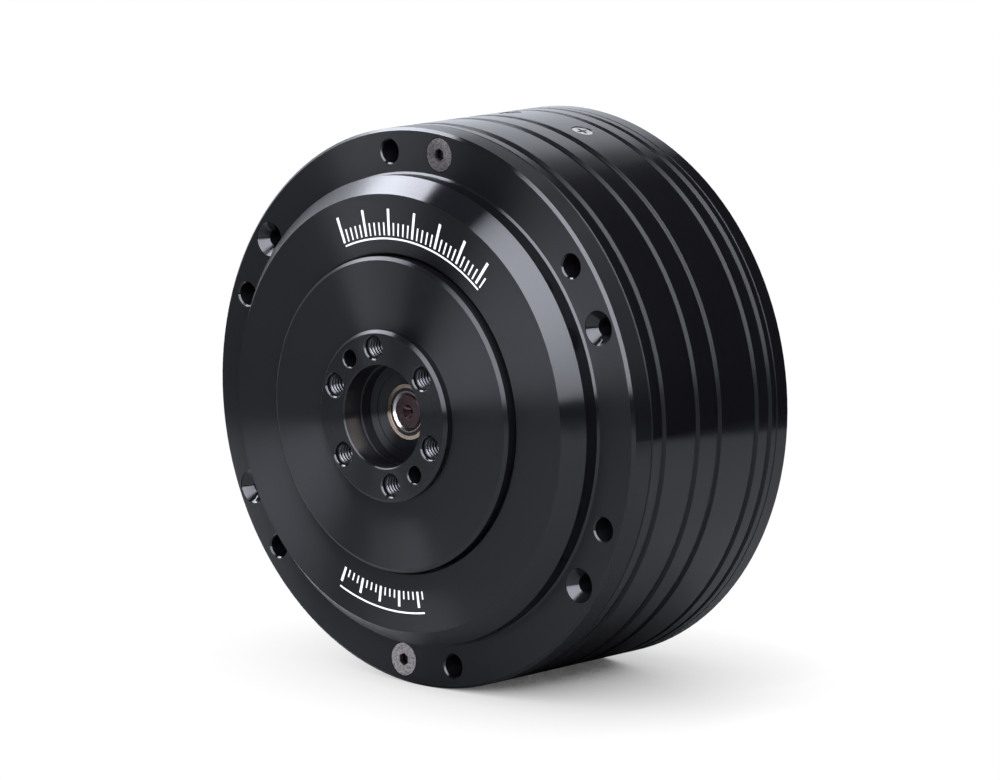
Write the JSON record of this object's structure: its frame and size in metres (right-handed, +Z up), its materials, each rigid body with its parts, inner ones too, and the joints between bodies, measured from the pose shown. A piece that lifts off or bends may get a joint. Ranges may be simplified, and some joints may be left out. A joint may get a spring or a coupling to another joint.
{
  "type": "geared outrunner motor",
  "caption": "Round flat geared motor: an outrunner rotor drives a planetary gear and a threaded output hub through a ball bearing in a grooved black housing.",
  "frame": {"origin": "on the output axis, in the plane of the mounting flange's front face", "axes": "-Y out of the output hub, +Y to the rear cap, +Z up, +X to the right as seen from the front"},
  "size_m": [0.098, 0.0617, 0.098],
  "materials": {
    "black_anodised": "satin black anodised, fine turned marks",
    "black_turned": "satin black anodised over a faced surface",
    "plain_aluminium": "machined",
    "blackened_steel": "phosphated, worn",
    "zinc_steel": "zinc plated",
    "bearing_steel": "ground and polished",
    "bearing_tinted": "ground, straw tinted",
    "bearing_dark": "pressed and blackened",
    "shaft_steel": "heat tinted, ground",
    "gear_steel": "hobbed, oiled",
    "rotor_iron": "black oxide",
    "lamination_steel": "stacked laminations",
    "magnet_plate": "nickel plated",
    "bronze": "sintered, oiled",
    "cage_plastic": "moulded, brown",
    "copper_wire": "enamelled",
    "lead_sleeve": "silicone sleeve",
    "board": "solder mask",
    "chip_black": "moulded",
    "connector_yellow": "nylon",
    "connector_white": "nylon",
    "contact_gold": "gold plated"
  },
  "bodies": {
    "housing": {"front_housing": "black_anodised", "motor_housing": "black_anodised", "rear_housing": "black_anodised", "rear_cover": "black_anodised", "driver_cap": "black_anodised", "flange_screws": "blackened_steel", "side_screws": "zinc_steel", "rear_cover_screws": "blackened_steel", "cap_screws": "blackened_steel", "bearing_retainer": "plain_aluminium", "retainer_screws": "zinc_steel", "ring_gear": "gear_steel", "ring_gear_pins": "bearing_steel", "stator_mount": "plain_aluminium", "stator_screws": "blackened_steel", "stator_core": "lamination_steel", "stator_windings": "copper_wire", "phase_leads": "lead_sleeve", "driver_board": "board", "board_standoffs": "plain_aluminium", "power_transistors": "chip_black", "capacitors": "chip_black", "controller_chips": "chip_black", "power_connector": "connector_yellow", "signal_connectors": "connector_white", "signal_pins": "contact_gold", "output_bearing_outer": "bearing_steel", "rotor_bearing_outers": "bearing_steel"},
    "output": {"output_flange": "black_turned", "planet_carrier": "plain_aluminium", "carrier_plate": "plain_aluminium", "carrier_screws": "blackened_steel", "planet_pins": "bearing_steel", "planet_washers": "bronze", "output_bearing_inner": "bearing_steel", "bore_bearing_outer": "bearing_tinted", "bore_bearing_shields": "bearing_dark"},
    "rotor": {"sun_gear": "shaft_steel", "rotor_shaft": "gear_steel", "rotor_hub": "plain_aluminium", "back_iron": "rotor_iron", "magnets": "magnet_plate", "encoder_magnet": "magnet_plate", "bore_bearing_inner": "bearing_steel", "rotor_bearing_inners": "bearing_steel"},
    "output_bearing_set": {"output_bearing_balls": "bearing_steel", "output_bearing_cage": "cage_plastic"},
    "rotor_bearing_sets": {"rotor_bearing_balls": "bearing_steel", "rotor_bearing_cages": "cage_plastic"},
    "bore_bearing_set": {"bore_bearing_balls": "bearing_steel", "bore_bearing_cage": "cage_plastic"},
    "planet_1": {"planet_gear_1": "gear_steel", "planet_bush_1": "bronze"},
    "planet_2": {"planet_gear_2": "gear_steel", "planet_bush_2": "bronze"},
    "planet_3": {"planet_gear_3": "gear_steel", "planet_bush_3": "bronze"}
  },
  "joints": [
    {"name": "output_spin", "type": "hinge", "parent": "housing", "child": "output", "pos_m": [0, -0.01, 0], "axis": [0, -1, 0], "continuous": true},
    {"name": "rotor_spin", "type": "hinge", "parent": "housing", "child": "rotor", "pos_m": [0, 0.02, 0], "axis": [0, -1, 0], "continuous": true},
    {"name": "planet_1_spin", "type": "hinge", "parent": "output", "child": "planet_1", "pos_m": [0.01598, 0.0105, 0.00267], "axis": [0, -1, 0], "continuous": true},
    {"name": "planet_2_spin", "type": "hinge", "parent": "output", "child": "planet_2", "pos_m": [-0.0103, 0.0105, 0.0125], "axis": [0, -1, 0], "continuous": true},
    {"name": "planet_3_spin", "type": "hinge", "parent": "output", "child": "planet_3", "pos_m": [-0.00567, 0.0105, -0.01517], "axis": [0, -1, 0], "continuous": true},
    {"name": "output_bearing_orbit", "type": "hinge", "parent": "housing", "child": "output_bearing_set", "pos_m": [0, 0.0005, 0], "axis": [0, -1, 0], "continuous": true},
    {"name": "rotor_bearing_orbit", "type": "hinge", "parent": "housing", "child": "rotor_bearing_sets", "pos_m": [0, 0.0251, 0], "axis": [0, -1, 0], "continuous": true},
    {"name": "bore_bearing_orbit", "type": "hinge", "parent": "housing", "child": "bore_bearing_set", "pos_m": [0, -0.002, 0], "axis": [0, -1, 0], "continuous": true}
  ],
  "couplings": [
    {"joint": "rotor_spin", "follows": "output_spin", "ratio": 9},
    {"joint": "planet_1_spin", "follows": "output_spin", "ratio": -2.2857},
    {"joint": "planet_2_spin", "follows": "output_spin", "ratio": -2.2857},
    {"joint": "planet_3_spin", "follows": "output_spin", "ratio": -2.2857},
    {"joint": "output_bearing_orbit", "follows": "output_spin", "ratio": 0.46196},
    {"joint": "rotor_bearing_orbit", "follows": "output_spin", "ratio": 3.7636},
    {"joint": "bore_bearing_orbit", "follows": "output_spin", "ratio": 4.5}
  ]
}
